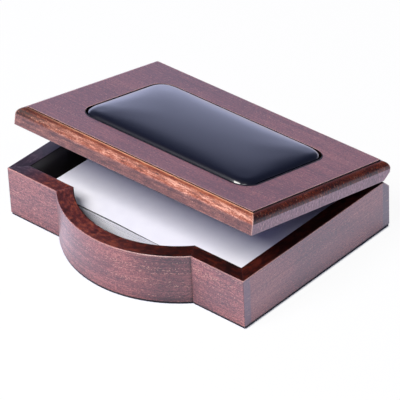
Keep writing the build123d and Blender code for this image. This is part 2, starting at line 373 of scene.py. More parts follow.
# painted shade: the band at the back end is darker
BACK_END_SHADE = "553d49"
BLOTCH_SQUEEZE = 0.6
BLOTCH_WIDTH = 2.2
BLOTCH_SHARE = 0.6
RIM_UP = (0.85, 0.98)
FACE_UP = (0.97, 0.8)
FACES_MIDDLE = (-10 * MM, -20 * MM)
RIM_RIGHT = (-12 * MM, 45 * MM)
RIM_LEFT = (-65 * MM, -85 * MM)
SHELTER_BACK = (-52 * MM, -22 * MM)
CORNER_SHADE_RIGHT = (-40 * MM, -10 * MM)
TURNED_AWAY_SPREAD = 25 * MM
END_BAND_WIDTH = 6.5 * MM
WALL_ROUGH = 0.45
RIM_ROUGH = 0.3
INSIDE_GLOSS = 0.15
TRAY_COAT_ROUGH = 0.24
LEAST_HIGHLIGHT_RISE = 0.08


def rim_stain(tree, mottled, rightwards, backwards):
    """The top edge's colour: darker at the right, in part a painted shade, greyer at the left,
    a painted reflection, and palest under the lid, a painted light.
    """
    rightmost = both(tree, (rightwards, *RIM_RIGHT))
    leftmost = both(tree, (rightwards, *RIM_LEFT))
    sheltered = both(tree, (leftmost, 0, 1), (backwards, *SHELTER_BACK))
    colour = stained(tree, mottled, RIM_STAIN)
    for mask, stain in (
        (rightmost, stained(tree, mottled, RIM_RIGHT_STAIN_AND_SHADE)),
        (leftmost, stained(tree, mottled, RIM_LEFT_SHEEN)),
        (sheltered, linear(SHELTERED_LIGHT)),
    ):
        colour = add(tree, "Mix", {"Factor": mask, 6: colour, 7: stain}, 2, data_type="RGBA")
    return colour


def tray_mahogany(name, make_frame, turned_away_from=1.0, end_band_from=1.0, **frame_settings):
    """Wall wood: even faces and a blotchy top edge, with painted shade, sheen and light in places."""
    material, tree = new_material(name)
    where = add(tree, "TexCoord").node.outputs
    grain = make_frame(tree, where["Object"], **frame_settings)
    figure, marks, flecks = wood_figure(tree, grain)
    blotches = pulled_noise(tree, grain, (BLOTCH_SQUEEZE, 1, 1), BLOTCH_WIDTH, 3)
    mottled = add(tree, "Mix", {"Factor": BLOTCH_SHARE, "A": figure, "B": blotches}, data_type="FLOAT")
    rightwards, backwards = add(tree, "SeparateXYZ", {0: where["Object"]}).node.outputs[:2]
    from_middle = add(tree, "Math", {0: backwards}, operation="ABSOLUTE")
    upwards = add(tree, "SeparateXYZ", {0: where["Normal"]}, 2)
    level = add(tree, "VectorMath", {0: where["Normal"], 1: (1, 1, 0)}, operation="MULTIPLY")
    outwards = add(tree, "VectorMath", {0: level, 1: where["Object"]}, "Value", operation="DOT_PRODUCT")
    rim = both(tree, (upwards, *RIM_UP))
    inside = both(tree, (outwards, *FACES_MIDDLE))
    face = both(tree, (upwards, *FACE_UP), (inside, 1, 0))
    # where the painted shade of the bow's right end lies
    cut = both(tree, (rightwards, turned_away_from, turned_away_from + TURNED_AWAY_SPREAD))
    # the ends of the side walls, where the painted sheen and shade lie
    end_band = both(tree, (from_middle, end_band_from, end_band_from + MM))
    back_end_band = both(tree, (end_band, 0, 1), (backwards, 0, MM))
    colour = stained(tree, figure, FACE_STAIN)
    for mask, stain in (
        (cut, stained(tree, figure, TURNED_AWAY_SHADE)),
        (end_band, linear(END_BAND_SHEEN)),
        (back_end_band, linear(BACK_END_SHADE)),
        (rim, rim_stain(tree, mottled, rightwards, backwards)),
        (inside, stained(tree, figure, INSIDE_SHADE)),
    ):
        colour = add(tree, "Mix", {"Factor": mask, 6: colour, 7: stain}, 2, data_type="RGBA")
    gloss = add(tree, "MapRange", {"Value": inside, "To Min": 1.0, "To Max": INSIDE_GLOSS})
    rough = add(tree, "MapRange", {"Value": rim, "To Min": WALL_ROUGH, "To Max": RIM_ROUGH})
    # where the painted corner shade may fall: the right part of the tray
    polished = both(tree, (rightwards, *CORNER_SHADE_RIGHT))
    colour, crevice_shade = marked(tree, colour, marks, flecks, face, polished, LEAST_HIGHLIGHT_RISE)
    gloss = add(tree, "Math", {0: gloss, 1: crevice_shade}, operation="SUBTRACT", use_clamp=True)
    satin_lacquer(tree, colour, figure, gloss, rough, TRAY_COAT_ROUGH)
    return material

# %% [markdown]
# ## The lip of the recess
# The leather panel drops into a recess that was routed out of the lid. Its walls and a
# lip a millimetre wide are painted black, a painted shade, so that the gap beside the
# panel reads as one dark line. The painted shade is wider on the two near sides, so its
# outline is shifted that way.
#
# To find the lip, a place is measured from the recess's middle, sideways and front to
# back. What goes beyond the straight part of each side is kept, and the length of the
# two together, less the corner's radius, is how far out the place lies.

# %% Distance from the recess
RECESS_CORNER = 11
RECESS_SHIFT = 0.8


def round_recess(tree, along, deep, middle, half_width, half_depth):
    """How many millimetres a place lies outside the recess, which has round corners."""
    sides = []
    spans = ((along, RECESS_SHIFT, half_width), (deep, middle - RECESS_SHIFT, half_depth))
    for place, centre, half in spans:
        offset = add(tree, "Math", {0: place, 1: centre}, operation="SUBTRACT")
        apart = add(tree, "Math", {0: offset}, operation="ABSOLUTE")
        beyond = add(tree, "Math", {0: apart, 1: half - RECESS_CORNER}, operation="SUBTRACT")
        sides.append(add(tree, "Math", {0: beyond, 1: 0.0}, operation="MAXIMUM"))
    corner = add(tree, "CombineXYZ", {0: sides[0], 1: sides[1]})
    reach = add(tree, "VectorMath", {0: corner}, "Value", operation="LENGTH")
    return add(tree, "Math", {0: reach, 1: RECESS_CORNER}, operation="SUBTRACT")

# %% [markdown]
# ## Places on the lid
# A router cut the lid's round edge and left a small step above it, the riser. Along the
# front the round was sanded light, and its pink is partly a painted highlight. A painted
# highlight runs beside the riser, a painted shade darkens the band in front of it, the
# neck, and a thin painted shadow lies along the top of the riser. Along the two ends the
# round is end grain, and a painted shadow blackens the riser there.
#
# These places are found in the lid's own frame, whose origin is on the hinge line. Each
# pair of numbers says where a place starts and where it is full, in millimetres, or as
# the part of the normal that points sideways or up.

# %% Masks on the lid
RISER = 0.8
ROUND_REACH = 5.6
SOFT_LINE = 0.1
MOULDING_BELOW = (6.2, 5.0)
RISER_BELOW = (RISER + 0.15, RISER)
ARRIS_BELOW = (RISER + 0.05, RISER - 0.05)
TOP_BELOW = (0.3, 0.1)
LIP_BELOW = (3.0, 2.5)
MOULDING_BEHIND = (4.9, 4.5)
BRIGHT_BEHIND = ((3.5, 4.2), (5.1, 4.9))
NECK_BEHIND = ((2.0, 2.6), (3.9, 3.5))
LEFT_END = (-30, -98)
UNDERNEATH = (0.6, 0.3)
GRAIN_AND_HIGHLIGHT_ABOVE = (0.5, 1.0)
LIP_BAND = (1.0, 0.7)
FACES_SIDEWAYS = (0.1, 0.4)
FACES_UP = (0.93, 0.96)
FACES_OFF_UP = (0.93, 0.85)


def lid_places(tree, along, deep, high, normal, front, top, recess):
    """Masks, by name, of the places on the lid that differ in stain, in shine, or in painted light and
    shade.
    """
    def below(start, full):
        """Bounds of a mask, given as millimetres below the lid's top."""
        return high, top - start, top - full

    def behind(start, full):
        """Bounds of a mask, given as millimetres behind the lid's front edge."""
        return deep, front + start, front + full

    sideways = add(tree, "Math", {0: normal[0]}, operation="ABSOLUTE")
    ends = both(tree, (sideways, *FACES_SIDEWAYS))
    rounded = below(ROUND_REACH + SOFT_LINE, ROUND_REACH - SOFT_LINE)
    moulded = both(tree, behind(*MOULDING_BEHIND), below(*MOULDING_BELOW))
    end_grain = both(tree, (ends, 0, 1), rounded)
    outside = round_recess(tree, along, deep, *recess)
    lip = both(tree, (outside, *LIP_BAND), below(*LIP_BELOW))
    return {
        "ends": ends,
        "end_grain": end_grain,
        "end_face": both(tree, (ends, 0, 1), (end_grain, 1, 0)),
        "riser": both(tree, below(*RISER_BELOW), (ends, 0, 1)),
        "arris": both(tree, below(*ARRIS_BELOW), (normal[2], *FACES_OFF_UP), (ends, 1, 0)),
        "moulded": moulded,
        "left_end": both(tree, (moulded, 0, 1), (along, *LEFT_END)),
        "bright": both(tree, *(behind(*edge) for edge in BRIGHT_BEHIND), rounded),
        "neck": both(tree, *(behind(*edge) for edge in NECK_BEHIND), rounded),
        "front_band": both(tree, below(ROUND_REACH - SOFT_LINE, ROUND_REACH + SOFT_LINE), (ends, 1, 0)),
        "top_face": both(tree, (normal[2], *FACES_UP), below(*TOP_BELOW)),
        "underneath": both(tree, (high, *UNDERNEATH)),
        "lip": lip,
        "grain_and_highlight": both(tree, (high, *GRAIN_AND_HIGHLIGHT_ABOVE), (lip, 1, 0)),
    }

# %% [markdown]
# ## Wood for the lid
# The lid's top is quiet. Its layers stand upright, so they show across its two ends as
# short ticks. End grain drinks stain and goes dark, and it drinks the lacquer too, so it
# shines less. Its riser is painted black, a painted shadow, and shines less too. The flat
# faces of the two ends are painted a paler lavender, a painted sheen, and the underside is
# painted dark, a painted shade. The lip, painted black as a painted shade, doesn't shine at
# all. Towards its left end the front's round edge is stained dark too.

# %% Lid wood
TOP_STAIN = ("542b2e", "713b3d", "925550")
BAND_STAIN = ("3c1c1b", "663934", "946050")
# a lighter sanded stain, whose pink is partly a painted highlight of the lamp
EDGE_STAIN_AND_HIGHLIGHT = ("4e1c10", "9a5036", "e2a68a")
# painted shade: the neck of the front round, darker than the wood
NECK_SHADE = ("40140a", "81341e", "b8683e")
DARK_STAIN = ("0e0201", "3a0d04", "843c1e")
# painted sheen: the flat faces of the lid's ends, paler and greyer
END_FACE_SHEEN = ("5c363e", "7c4a54", "a07078")
# painted shade: the lid's underside, coloured dark
UNDERSIDE_SHADE = ("1a0b0a", "2c1512", "4a2a20")
# painted highlight: a light line beside the riser
HIGHLIGHT_LINE = "e0a07a"
# painted shadow: a dark line along the top of the front riser
ARRIS_SHADOW = "561e14"
# painted shadow: the riser at the two ends, black
RISER_SHADOW = "1c0502"
# painted shade: the recess walls and a lip round them, black
GROOVE_SHADE = "050304"
LAYER_SQUEEZE = 1 / 3
STREAK_SQUEEZE = 1 / 6
STREAK_WIDTH = 1.6
LID_ROUGH = 0.45
SANDED_ROUGH = 0.55
END_GRAIN_SMOOTHER = -0.12
LID_GLOSS = 0.65
LID_COAT_ROUGH = 0.3
ANY_RISE = -1.0


def lid_mahogany(name, origin, tilt, front, top, recess):
    """Lid wood: quiet top, dark end grain, an orange moulded front edge, and painted light and shade."""
    material, tree = new_material(name)
    where = add(tree, "TexCoord").node.outputs
    board = grain_frame(tree, where["Object"], origin, (tilt, 0, 0))
    along, deep, high = add(tree, "SeparateXYZ", {0: board}).node.outputs
    normal = add(tree, "SeparateXYZ", {0: where["Normal"]}).node.outputs
    place = lid_places(tree, along, deep, high, normal, front, top, recess)
    upright = add(tree, "MapRange", {"Value": place["ends"], "To Min": 1.0, "To Max": LAYER_SQUEEZE})
    layers = add(tree, "Math", {0: high, 1: upright}, operation="MULTIPLY")
    grain = add(tree, "CombineXYZ", {0: along, 1: deep, 2: layers})
    figure, marks, flecks = wood_figure(tree, grain)
    streaks = pulled_noise(tree, grain, (STREAK_SQUEEZE, 1, 1), STREAK_WIDTH, 3)
    edge_figure = add(tree, "Mix", {"Factor": 0.5, "A": figure, "B": streaks}, data_type="FLOAT")
    colour = stained(tree, figure, FACE_STAIN)
    for spot, stain in (
        ("top_face", stained(tree, figure, TOP_STAIN)),
        ("front_band", stained(tree, edge_figure, BAND_STAIN)),
        ("moulded", stained(tree, edge_figure, EDGE_STAIN_AND_HIGHLIGHT)),
        ("neck", stained(tree, edge_figure, NECK_SHADE)),
        ("bright", linear(HIGHLIGHT_LINE)),
        ("left_end", stained(tree, figure, DARK_STAIN)),
        ("arris", linear(ARRIS_SHADOW)),
        ("end_face", stained(tree, figure, END_FACE_SHEEN)),
        ("end_grain", stained(tree, figure, DARK_STAIN)),
        ("riser", linear(RISER_SHADOW)),
        ("underneath", stained(tree, figure, UNDERSIDE_SHADE)),
        ("lip", linear(GROOVE_SHADE)),
    ):
        colour = add(tree, "Mix", {"Factor": place[spot], 6: colour, 7: stain}, 2, data_type="RGBA")
    rough = add(tree, "MapRange", {"Value": place["moulded"], "To Min": LID_ROUGH, "To Max": SANDED_ROUGH})
    smoother = {0: place["end_grain"], 1: END_GRAIN_SMOOTHER, 2: rough}
    rough = add(tree, "Math", smoother, operation="MULTIPLY_ADD")
    gloss = add(tree, "MapRange", {"Value": place["end_face"], "To Min": LID_GLOSS, "To Max": 1.0})
    half_dry = both(tree, (place["underneath"], 0, 2))
    drunk_in = place["end_grain"]
    for thirsty in (place["riser"], place["arris"], place["lip"], half_dry):
        drunk_in = add(tree, "Math", {0: drunk_in, 1: thirsty}, operation="MAXIMUM")
    gloss = add(tree, "Math", {0: gloss, 1: drunk_in}, operation="SUBTRACT", use_clamp=True)
    # the painted corner shade keeps off the moulded front edge
    polished = both(tree, (place["moulded"], 1, 0))
    colour, crevice_shade = marked(tree, colour, marks, flecks, place["grain_and_highlight"], polished, ANY_RISE)
    gloss = add(tree, "Math", {0: gloss, 1: crevice_shade}, operation="SUBTRACT", use_clamp=True)
    # the lip mirrors nothing, as part of its painted shade
    shine = add(tree, "Mix", {
        "Factor": place["lip"], 6: (1, 1, 1, 1), 7: (0, 0, 0, 1),
    }, 2, data_type="RGBA")
    satin_lacquer(tree, colour, figure, gloss, rough, LID_COAT_ROUGH, shine)
    return material

# %% [markdown]
# ## Where the lid's parts lie when it is shut
# The lid's nodes are tilted, so their boxes are too. To measure them, their points are
# swung shut first.

# %% Measure the lid, swung shut
def shut_box(node_name):
    """Lowest and highest corner of a lid node, with the lid shut."""
    points = [swing.inverted() @ v.co for v in nodes[node_name].data.vertices]
    return [Vector([end(p[i] for p in points) for i in range(3)]) for end in (min, max)]


board_low, board_high = shut_box("lid_board")
pad_low, pad_high = shut_box("leather_cover")
pad_middle = (pad_low + pad_high) / 2
half_pad = (pad_high - pad_low) / 2
lid_top = board_high.z
print("lid top", round(lid_top / MM, 2), "pad", [round(x / MM, 2) for x in (*pad_low, *pad_high)])

# %% [markdown]
# ## Wood on the nodes
# The CAD nodes of the walls and the lid have the right shape already, so they stay, and
# only get their finish. The side walls' grain runs from front to back. The bow's grain
# runs round its curve, as in bent wood: its centre and radius come from its box, because
# its front is an arc that stands out past the straight rails. The rails and the side walls
# each start at a corner of their own, so that they show another part of the pattern.

# %% Give the wooden nodes their finish
def finish_node(node_name, material):
    """Gives a CAD node its finish, in place of the plain colour that it was loaded with."""
    nodes[node_name].data.materials.clear()
    nodes[node_name].data.materials.append(material)


bow_low, bow_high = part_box("bow_front")
rail_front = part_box("front_rail_left")[0][1]
half_chord = (bow_high[0] - bow_low[0]) / 2
depth_of_bow = rail_front - bow_low[1]
bow_radius = (half_chord ** 2 + depth_of_bow ** 2) / (2 * depth_of_bow)
bow_centre = (0, bow_low[1] + bow_radius, 0)
print("bow radius", round(bow_radius / MM, 2), "centre y", round(bow_centre[1] / MM, 2))

RAIL_CORNER = (11 * MM, -40 * MM, -30 * MM)
SIDE_CORNER = (-30 * MM, 20 * MM, -50 * MM)
BOW_TURNED_AWAY_FROM = 20 * MM

across = tray_mahogany("mahogany_satin_lacquer_across", grain_frame, origin=RAIL_CORNER)
deepways = tray_mahogany(
    "mahogany_satin_lacquer_deepways", grain_frame,
    end_band_from=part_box("right_wall")[1][1] - END_BAND_WIDTH,
    origin=SIDE_CORNER, turn=(0, 0, math.pi / 2),
)
bent = tray_mahogany(
    "mahogany_satin_lacquer_bent", bent_grain_frame,
    turned_away_from=BOW_TURNED_AWAY_FROM, centre=bow_centre, radius=bow_radius,
)
for name in ("front_rail_left", "front_rail_right", "back_wall"):
    finish_node(name, across)
for name in ("left_wall", "right_wall"):
    finish_node(name, deepways)
finish_node("bow_front", bent)
finish_node("lid_board", lid_mahogany(
    "mahogany_satin_lacquer_lid", hinge_line, -lid_open,
    front=(board_low.y - hinge_line.y) / MM,
    top=(lid_top - hinge_line.z) / MM,
    recess=((pad_middle.y - hinge_line.y) / MM, half_pad.x / MM, half_pad.y / MM),
))

# %% [markdown]
# ## Modelling helpers
# The new pieces are shaped by the same operators as by hand. Before each one everything
# is deselected, because an operator acts on all that is selected. Faces and edges are
# picked by a test on their place or direction.

# %% Selection and modifiers
def start_cube(name, low, high):
    """A box between two corners, selected alone and ready to shape."""
    bpy.ops.object.select_all(action="DESELECT")
    bpy.ops.mesh.primitive_cube_add(size=1, location=(low + high) / 2, scale=high - low)
    piece = bpy.context.object
    piece.name = name
    bpy.ops.object.transform_apply(location=True, rotation=True, scale=True)
    return piece


def select_only(piece):
    """Makes one object the only one that an operator acts on."""
    bpy.ops.object.select_all(action="DESELECT")
    piece.select_set(True)
    bpy.context.view_layer.objects.active = piece


def pick_faces(piece, test):
    """Selects the faces that pass a test on their centre and normal, in edit mode."""
    select_only(piece)
    bpy.ops.object.mode_set(mode="EDIT")
    bpy.ops.mesh.select_mode(type="FACE")
    bpy.ops.mesh.select_all(action="DESELECT")
    bpy.ops.object.mode_set(mode="OBJECT")
    for face in piece.data.polygons:
        face.select = test(face.center, face.normal)
    bpy.ops.object.mode_set(mode="EDIT")


def pick_edges(piece, test):
    """Selects the edges that pass a test on their two ends, in edit mode."""
    select_only(piece)
    bpy.ops.object.mode_set(mode="EDIT")
    bpy.ops.mesh.select_mode(type="EDGE")
    bpy.ops.mesh.select_all(action="DESELECT")
    bpy.ops.object.mode_set(mode="OBJECT")
    points = piece.data.vertices
    for edge in piece.data.edges:
        edge.select = test(*(points[i].co for i in edge.vertices))
    bpy.ops.object.mode_set(mode="EDIT")


def done_editing():
    """Back to object mode, with the edits in the mesh."""
    bpy.ops.object.mode_set(mode="OBJECT")


def modify(piece, kind, **settings):
    """Adds a modifier and applies it at once."""
    bpy.context.view_layer.objects.active = piece
    modifier = piece.modifiers.new(kind.lower(), kind)
    for name, value in settings.items():
        setattr(modifier, name, value)
    bpy.ops.object.modifier_apply(modifier=modifier.name)


def duplicate(piece, name):
    """A copy with its own mesh."""
    twin = piece.copy()
    twin.data = piece.data.copy()
    twin.name = name
    bpy.context.scene.collection.objects.link(twin)
    return twin

# %% [markdown]
# ## The padded panel: its form
# On the real lid a thin board carries a sheet of foam, and black leather is stretched
# over both and turned in underneath. The panel drops into a recess, so its soft edge
# rolls down into a narrow dark groove.
#
# The form starts as a box with round corners. Its top is inset in rings, each raised to
# the height of a smooth crown: foam is squeezed most where the leather pulls round the
# edge, and least in the middle. The rings are made by scale, which keeps the corners
# round. Then the mesh is remade of even small squares, and cloth pressure swells it,
# which gives the soft shoulders that stretched leather has.

# %% Shape the pad
SIDE_PULL = 0.6 * MM
PAD_CORNER = 11 * MM
SIDE_RISE = 1.5 * MM
CROWN_RISE = 1.5 * MM
CROWN_POWER = 2.5
CROWN_RINGS = (2 * MM, 4 * MM, 6.5 * MM, 10 * MM, 14 * MM, 19 * MM, 25 * MM, 31 * MM)
EDGE_ROLL = 1.3 * MM
SHARP_ANGLE = math.radians(50)
GRAIN_OF_MESH = 1.2 * MM
REMESH_SMOOTHING = 10

pull = Vector((SIDE_PULL, SIDE_PULL, 0))
pad = start_cube("leather_pad", pad_low + pull, Vector((*pad_high.xy, lid_top + SIDE_RISE)) - pull)
pick_edges(pad, lambda a, b: abs(a.z - b.z) > MM)
bpy.ops.mesh.bevel(offset=PAD_CORNER - SIDE_PULL, segments=10, affect="EDGES")
done_editing()

pick_faces(pad, lambda centre, normal: normal.z > 0.9)
half = half_pad - pull
last_size = Vector((1, 1))
last_rise = 0
for from_edge in CROWN_RINGS:
    size = Vector(((half.x - from_edge) / half.x, (half.y - from_edge) / half.y))
    rise = CROWN_RISE * (1 - (1 - from_edge / half.y) ** CROWN_POWER)
    shrink = (size.x / last_size.x, size.y / last_size.y, 1)
    bpy.ops.mesh.inset(thickness=0)
    bpy.ops.transform.resize(value=shrink, center_override=pad_middle)
    bpy.ops.transform.translate(value=(0, 0, rise - last_rise))
    last_size = size
    last_rise = rise
done_editing()
modify(pad, "BEVEL", width=EDGE_ROLL, segments=4, limit_method="ANGLE", angle_limit=SHARP_ANGLE)
modify(pad, "REMESH", mode="VOXEL", voxel_size=GRAIN_OF_MESH)
modify(pad, "SMOOTH", factor=0.5, iterations=REMESH_SMOOTHING)
print("pad form:", len(pad.data.vertices), "points")

# %% [markdown]
# ## The padded panel: swelling
# Everything below the lid's surface is held, because the recess grips it there. Gravity
# is off, and each point may move only as far as the foam gives. Thin cloth gathers in
# pleats at the corners, which stiff leather over foam does not, so they are smoothed out.

# %% Swell the pad
PRESSURE = 0.8
FOAM_GIVE = 0.6 * MM
SWELL_FRAMES = 20
PLEAT_SMOOTHING = 30
GRIP_DEPTH = 0.3 * MM


def swell(piece, held_below):
    """Blows a closed form up a little by cloth pressure, then takes the cloth off."""
    held = piece.vertex_groups.new(name="held")
    low_points = [v.index for v in piece.data.vertices if v.co.z < held_below]
    held.add(low_points, 1.0, "REPLACE")
    before = [v.co.copy() for v in piece.data.vertices]
    cloth = piece.modifiers.new("cloth", "CLOTH")
    cloth.settings.vertex_group_mass = held.name
    cloth.settings.use_pressure = True
    cloth.settings.uniform_pressure_force = PRESSURE
    cloth.settings.effector_weights.gravity = 0
    cloth.collision_settings.use_collision = False
    cloth.point_cache.frame_start = 1
    cloth.point_cache.frame_end = SWELL_FRAMES
    for moment in range(1, SWELL_FRAMES + 1):
        bpy.context.scene.frame_set(moment)
    bpy.context.view_layer.objects.active = piece
    bpy.ops.object.modifier_apply(modifier=cloth.name)
    bpy.context.scene.frame_set(1)
    for point, old in zip(piece.data.vertices, before):
        moved = point.co - old
        if moved.length > FOAM_GIVE:
            point.co = old + moved * (FOAM_GIVE / moved.length)
    free = piece.vertex_groups.new(name="free")
    free.add([v.index for v in piece.data.vertices if v.co.z >= held_below], 1.0, "REPLACE")
    modify(piece, "SMOOTH", factor=0.5, iterations=PLEAT_SMOOTHING, vertex_group=free.name)
    piece.vertex_groups.clear()


swell(pad, lid_top - GRIP_DEPTH)
print("pad rises", round((max(v.co.z for v in pad.data.vertices) - lid_top) / MM, 2), "mm above the lid")

# %% [markdown]
# ## The leather and the foam
# The closed form gives both soft pieces. A copy, shrunk by the leather's thickness and
# cut off at the board, is the foam. The form itself becomes a skin: its underside is
# opened inside the turned-in hem, and Solidify gives the leather its thickness inwards.

# %% Cut the foam and open the leather
LEATHER_THICKNESS = 0.9 * MM
FOAM_SHRINK = 1.05 * LEATHER_THICKNESS
HEM = 8 * MM


def swing_open(piece):
    """Tilts a piece that was made on the shut lid, and smooths its shading."""
    piece.data.transform(swing)
    select_only(piece)
    bpy.ops.object.shade_smooth_by_angle(angle=SHARP_ANGLE)


foam = duplicate(pad, "foam_pad_soft")
modify(foam, "DISPLACE", strength=-FOAM_SHRINK, mid_level=0)
board_top = shut_box("pad_board")[1].z
select_only(foam)
bpy.ops.object.mode_set(mode="EDIT")
bpy.ops.mesh.select_all(action="SELECT")
bpy.ops.mesh.bisect(plane_co=(0, 0, board_top), plane_no=(0, 0, 1), use_fill=True, clear_inner=True)
done_editing()
swing_open(foam)

mouth_low = pad_low + Vector((HEM, HEM, 0))
mouth_high = pad_high - Vector((HEM, HEM, 0))


def in_mouth(centre, normal):
    """The underside, inside the hem."""
    inside = mouth_low.x < centre.x < mouth_high.x and mouth_low.y < centre.y < mouth_high.y
    return normal.z < -0.5 and inside


pick_faces(pad, in_mouth)
bpy.ops.mesh.delete(type="FACE")
done_editing()
modify(pad, "SOLIDIFY", thickness=LEATHER_THICKNESS, offset=-1, use_even_offset=True)
swing_open(pad)
print("leather:", len(pad.data.polygons), "faces; foam:", len(foam.data.polygons), "faces")

for piece, node_name, slot_name, fill in (
    (pad, "leather_cover", "leather", 0.9),
    (foam, "foam_pad", "foam", 1.0),
):
    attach(piece, "lid")
    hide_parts(node_name)

# %% [markdown]
# ## The stack of memo sheets
# Some hundred and fifty sheets lie in the tray. They were cut and dropped in by the
# packet, so the stack's sides show as thin bands that stand a tenth of a millimetre out or
# in. One packet is modelled, with its edges eased so that a fine shadow line shows between
# two, and it is copied with its own thickness and place each time.

# %% Stack the packets
PACKET_THICKNESS = (0.35, 0.95)
PACKET_SLIP = 0.12 * MM
EASED_EDGE = 0.07 * MM
shuffle = random.Random(11)

block_low, block_high = (Vector(corner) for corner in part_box("memo_block"))
packet = start_cube("memo_stack", Vector((*block_low.xy, 0)), Vector((*block_high.xy, MM)))
pick_edges(packet, lambda a, b: abs(a.z - b.z) < EASED_EDGE)
bpy.ops.mesh.bevel(offset=EASED_EDGE, segments=1, affect="EDGES")
done_editing()

packets = []
height = block_low.z
while height < block_high.z:
    thickness = min(shuffle.uniform(*PACKET_THICKNESS) * MM, block_high.z - height)
    slip = [shuffle.uniform(-PACKET_SLIP, PACKET_SLIP) for _ in range(2)]
    layer = duplicate(packet, "packet")
    layer.data.transform(Matrix.Translation((*slip, height)) @ Matrix.Diagonal((1, 1, thickness / MM, 1)))
    packets.append(layer)
    height += thickness
bpy.data.objects.remove(packet)
select_only(packets[0])
for layer in packets:
    layer.select_set(True)
bpy.ops.object.join()
stack = bpy.context.object
stack.name = "memo_stack"
print("packets:", len(packets))

# %% [markdown]
# ## The loose sheets on top
# The top few sheets have been lifted and dropped. Three of them slid back by two
# millimetres, and the last one's front edge curls up on its left, so that it stands over
# a thin dark gap. A sheet starts as a flat plane, cut into squares so that it can bend.
# Its points are lifted by a formula, and then it is given the thickness of paper, a tenth
# of a millimetre.

# %% Lay the loose sheets
PAPER = 0.1 * MM
SHEET_PITCH = 1.5 * PAPER
SHEET_SQUARES = (48, 32)
SHEET_LIFTS = (0.0, 0.0, 0.1 * MM, 1.0 * MM)
LIFT_ENDS = Vector((14 * MM, 22 * MM))
LIFT_IS_FULL = 1 / 3
SHEET_SLIPS = ((0.3, 2.2), (-0.4, 2.6), (0.2, 2.4), (0.0, 0.1))

sheets_low, sheets_high = (Vector(corner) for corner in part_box("loose_sheets"))
sheet_middle = (sheets_low + sheets_high) / 2
sheet_size = sheets_high - sheets_low
layers = []
for number, lift in enumerate(SHEET_LIFTS):
    bpy.ops.object.select_all(action="DESELECT")
    low = sheets_low.z + (number + 0.5) * SHEET_PITCH
    bpy.ops.mesh.primitive_grid_add(
        x_subdivisions=SHEET_SQUARES[0], y_subdivisions=SHEET_SQUARES[1], size=1,
        location=(*sheet_middle.xy, low),
    )
    sheet = bpy.context.object
    sheet.scale = (*sheet_size.xy, 1)
    bpy.ops.object.transform_apply(location=True, rotation=True, scale=True)
    slip = Vector(SHEET_SLIPS[number]) * MM
    for point in sheet.data.vertices:
        leftwards = max(0, LIFT_ENDS.x - point.co.x) / (LIFT_ENDS.x - sheets_low.x)
        forwards = max(0, LIFT_ENDS.y - point.co.y) / (LIFT_ENDS.y - sheets_low.y)
        point.co.z += lift * min(1, leftwards / LIFT_IS_FULL) * forwards ** 2
        point.co.x += slip.x
        point.co.y += slip.y
    modify(sheet, "SOLIDIFY", thickness=PAPER, offset=1)
    layers.append(sheet)
select_only(layers[0])
for sheet in layers:
    sheet.select_set(True)
bpy.ops.object.join()
loose = bpy.context.object
loose.name = "top_sheets"

for piece, node_name in ((stack, "memo_block"), (loose, "loose_sheets")):
    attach(piece, "base")
    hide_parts(node_name)

# %% [markdown]
# ## Paper
# Uncoated white writing paper. Pulp is pressed and dried against felt, which leaves it
# matt and very slightly cloudy. It is a little blue, because white paper is brightened.
# In a gap between two sheets hardly any light comes back, so the Ambient Occlusion node
# makes it dark there.

# %% Paper finish
PULP_DARK = "dfdfe9"
PULP_LIGHT = "e8e8f0"
GAP_SHADE = "16151c"
GAP_REACH = 3 * MM
GAP_IS_CLOSE = (0.54, 0.40)
CLOUD_WIDTH = 7
TOOTH_WIDTH = 0.6
TOOTH_DEPTH = 0.03 * MM


def millimetres(tree):
    """Object coordinates in millimetres, for patterns that have no grain."""
    return grain_frame(tree, add(tree, "TexCoord", out="Object"), (0, 0, 0))


def dress(piece, material):
    """Gives a piece of this script its one finish."""
    piece.data.materials.clear()
    piece.data.materials.append(material)


paper, tree = new_material("writing_paper_uncoated_white")
place = millimetres(tree)
cloudy = pulled_noise(tree, place, (1, 1, 1), CLOUD_WIDTH, 3)
tooth = pulled_noise(tree, place, (1, 1, 1), TOOTH_WIDTH, 2)
white_pulp = add(tree, "Mix", {
    "Factor": cloudy, 6: linear(PULP_DARK), 7: linear(PULP_LIGHT),
}, 2, data_type="RGBA")
open_sky = add(tree, "AmbientOcclusion", {"Distance": GAP_REACH}, "AO", samples=8)
crevice_shade = both(tree, (open_sky, *GAP_IS_CLOSE))
shader = add(tree, "BsdfPrincipled", {
    "Base Color": add(tree, "Mix", {
        "Factor": crevice_shade, 6: white_pulp, 7: linear(GAP_SHADE),
    }, 2, data_type="RGBA"),
    "Roughness": 0.85,
    "IOR": 1.45,
    "Normal": add(tree, "Bump", {"Height": tooth, "Strength": 0.3, "Distance": TOOTH_DEPTH}),
})
add(tree, "OutputMaterial", {"Surface": shader})
dress(stack, paper)
dress(loose, paper)

# %% [markdown]
# ## Leather
# Smooth calf leather, dyed black and polished: under its gloss lies a fine pebble grain.
# Real grain is about half a millimetre, so it is drawn at 0.75 mm, which only breaks up
# the reflection. What faces up keeps its shine. The steep sides, down in the groove, are
# painted a dead black and a mask from the normal takes their shine away, a painted shade
# for the groove's shadow.

# %% Leather finish
PEBBLE = 0.75
PEBBLE_DEPTH = 0.1 * MM
WAVE_WIDTH = 6
WAVE_SHARE = 0.25
# painted shade: the steep sides of the pad, down in the groove, a dead black
SIDE_SHADE_BLACK = "050506"
TOP_BLACK = "0c0c17"
SHINE_FACING = (0.3, 0.5)
POLISH_WEIGHT = 0.7

